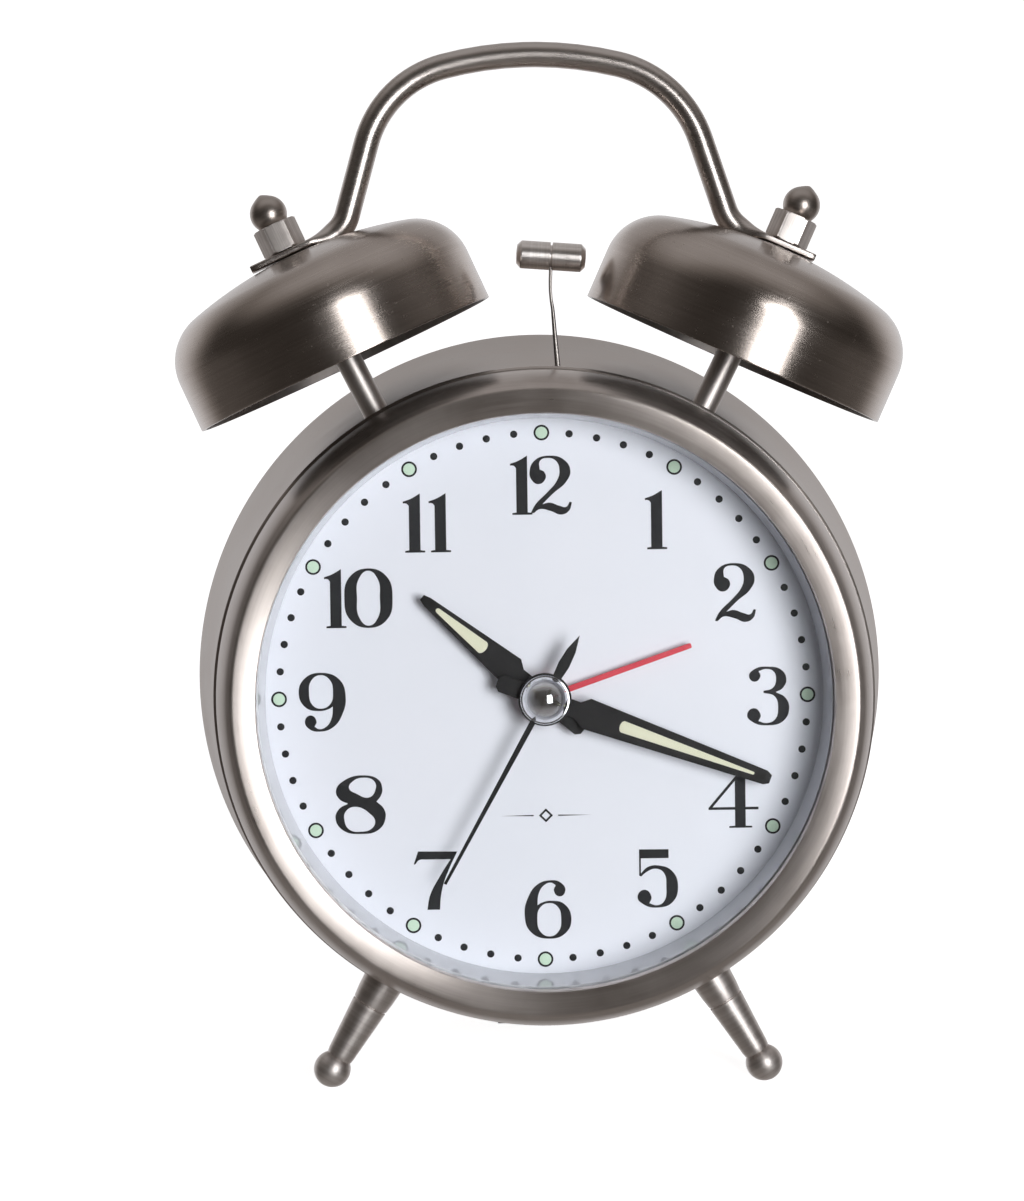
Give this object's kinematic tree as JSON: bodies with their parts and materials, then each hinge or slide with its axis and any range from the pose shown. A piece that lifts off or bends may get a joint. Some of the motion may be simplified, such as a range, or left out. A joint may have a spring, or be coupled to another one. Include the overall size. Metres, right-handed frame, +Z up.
{
  "type": "twin bell alarm clock",
  "caption": "Round metal alarm clock leaning back on two ball feet, with two bells, a striking hammer, a carrying handle, four hands and a quartz movement.",
  "frame": {"origin": "on the ground, under the middle of the bounding box", "axes": "+Z up, the dial faces -Y, +X to the right seen from the front"},
  "size_m": [0.119, 0.0751, 0.1679],
  "materials": {
    "case_nickel": "satin nickel plate, brushed round the case",
    "bezel_nickel": "satin nickel plate, brushed round the ring",
    "lens_glass": "clear flat glass",
    "black_rubber": "matt black rubber",
    "reflector_white": "glossy pale grey plastic",
    "dial_white": "satin white lacquer with black printing",
    "back_plastic": "fine textured black plastic",
    "screw_steel": "plain zinc-plated steel",
    "foot_nickel": "satin nickel plate",
    "bell_nickel": "satin nickel plate, brushed round the bell",
    "post_nickel": "satin nickel plate",
    "nut_nickel": "satin nickel plate, milled faces",
    "finial_nickel": "polished nickel plate",
    "handle_nickel": "satin nickel plate, brushed along the rod",
    "hammer_nickel": "satin nickel plate",
    "hammer_arm_steel": "plain spring steel",
    "motor_steel": "drawn steel can",
    "arbor_brass": "plain brass",
    "hand_black": "black lacquer with pale luminous inlay",
    "hand_red": "red lacquer",
    "cap_chrome": "polished chrome",
    "gear_plastic": "natural acetal",
    "rotor_magnet": "sintered magnet",
    "stator_steel": "plain steel strip",
    "coil_copper": "enamelled copper wire",
    "board_green": "green lacquered board",
    "housing_plastic": "natural moulded plastic",
    "battery_wrap": "printed-free dark sleeve",
    "knob_plastic": "black plastic"
  },
  "bodies": {
    "case": {"case_drum": "case_nickel", "front_bezel": "bezel_nickel", "front_lens": "lens_glass", "lens_gasket": "black_rubber", "reflector_ring": "reflector_white", "dial_plate": "dial_white", "back_cover": "back_plastic", "back_screws": "screw_steel", "rear_rest_pad": "black_rubber", "foot_left": "foot_nickel", "foot_right": "foot_nickel", "foot_nuts": "screw_steel", "bell_left": "bell_nickel", "bell_right": "bell_nickel", "bell_post_left": "post_nickel", "bell_post_right": "post_nickel", "post_nuts": "screw_steel", "bell_nut_left": "nut_nickel", "bell_nut_right": "nut_nickel", "finial_left": "finial_nickel", "finial_right": "finial_nickel", "carry_handle": "handle_nickel", "hammer_pivot": "screw_steel", "bell_motor": "motor_steel", "stator_plate": "stator_steel", "motor_coil": "coil_copper", "circuit_board": "board_green", "movement_front": "housing_plastic", "movement_rear": "housing_plastic", "battery_tray": "back_plastic", "battery": "battery_wrap", "battery_spring": "stator_steel", "battery_plate": "stator_steel"},
    "minute": {"minute_hand": "hand_black", "minute_arbor": "arbor_brass"},
    "hour": {"hour_hand": "hand_black", "hour_wheel": "gear_plastic"},
    "second": {"second_hand": "hand_black", "hub_cap": "cap_chrome", "second_arbor": "arbor_brass"},
    "alarm": {"alarm_hand": "hand_red", "alarm_wheel": "gear_plastic"},
    "motion": {"motion_wheel": "gear_plastic"},
    "centre": {"centre_wheel": "arbor_brass"},
    "third": {"third_wheel": "arbor_brass"},
    "reduction": {"reduction_wheel": "gear_plastic"},
    "rotor": {"motor_rotor": "rotor_magnet"},
    "crank": {"motor_crank": "arbor_brass"},
    "hammer": {"hammer_head": "hammer_nickel", "hammer_arm": "hammer_arm_steel"},
    "time_setter": {"time_knob": "knob_plastic"},
    "alarm_setter": {"alarm_knob": "knob_plastic"},
    "switch": {"alarm_switch": "knob_plastic"},
    "door": {"battery_door": "back_plastic"}
  },
  "joints": [
    {"name": "minute_turn", "type": "hinge", "parent": "case", "child": "minute", "pos_m": [0, -0.0155, 0.06488], "axis": [0, 0.9836, -0.1805], "continuous": true},
    {"name": "hour_turn", "type": "hinge", "parent": "case", "child": "hour", "pos_m": [0, -0.0155, 0.06488], "axis": [0, 0.9836, -0.1805], "continuous": true},
    {"name": "motion_turn", "type": "hinge", "parent": "case", "child": "motion", "pos_m": [-0.01039, -0.01658, 0.05898], "axis": [0, 0.9836, -0.1805], "continuous": true},
    {"name": "time_knob_turn", "type": "hinge", "parent": "case", "child": "time_setter", "pos_m": [-0.02079, -0.01767, 0.05308], "axis": [0, 0.9836, -0.1805], "continuous": true},
    {"name": "second_turn", "type": "hinge", "parent": "case", "child": "second", "pos_m": [0, -0.0155, 0.06488], "axis": [0, 0.9836, -0.1805], "continuous": true},
    {"name": "third_turn", "type": "hinge", "parent": "case", "child": "third", "pos_m": [0.0051, -0.01391, 0.07357], "axis": [0, 0.9836, -0.1805], "continuous": true},
    {"name": "centre_turn", "type": "hinge", "parent": "case", "child": "centre", "pos_m": [0, -0.0155, 0.06488], "axis": [0, 0.9836, -0.1805], "continuous": true},
    {"name": "reduction_turn", "type": "hinge", "parent": "case", "child": "reduction", "pos_m": [-0.00709, -0.01527, 0.06611], "axis": [0, 0.9836, -0.1805], "continuous": true},
    {"name": "rotor_turn", "type": "hinge", "parent": "case", "child": "rotor", "pos_m": [-0.01234, -0.01527, 0.06611], "axis": [0, 0.9836, -0.1805], "continuous": true},
    {"name": "alarm_turn", "type": "hinge", "parent": "case", "child": "alarm", "pos_m": [0, -0.0155, 0.06488], "axis": [0, 0.9836, -0.1805], "continuous": true},
    {"name": "alarm_knob_turn", "type": "hinge", "parent": "case", "child": "alarm_setter", "pos_m": [0.02079, -0.01767, 0.05308], "axis": [0, 0.9836, -0.1805], "continuous": true},
    {"name": "crank_turn", "type": "hinge", "parent": "case", "child": "crank", "pos_m": [0.0037, -0.01018, 0.0939], "axis": [0, 0.9836, -0.1805], "continuous": true},
    {"name": "hammer_swing", "type": "hinge", "parent": "case", "child": "hammer", "pos_m": [0.0037, -0.00103, 0.10493], "axis": [0, 0.9836, -0.1805], "range_deg": [-11.5, 3.5]},
    {"name": "alarm_switch_slide", "type": "slide", "parent": "case", "child": "switch", "axis": [0, 0.1805, 0.9836], "range_m": [0, 0.004]},
    {"name": "battery_door_pull", "type": "slide", "parent": "case", "child": "door", "axis": [0, 0.9836, -0.1805], "range_m": [0, 0.012]}
  ],
  "couplings": [
    {"joint": "hour_turn", "follows": "minute_turn", "ratio": 0.083333},
    {"joint": "motion_turn", "follows": "minute_turn", "ratio": -0.33333},
    {"joint": "time_knob_turn", "follows": "minute_turn", "ratio": 1},
    {"joint": "third_turn", "follows": "second_turn", "ratio": -0.13333},
    {"joint": "centre_turn", "follows": "second_turn", "ratio": 0.016667},
    {"joint": "reduction_turn", "follows": "second_turn", "ratio": -5},
    {"joint": "rotor_turn", "follows": "second_turn", "ratio": 30},
    {"joint": "alarm_knob_turn", "follows": "alarm_turn", "ratio": -3}
  ]
}
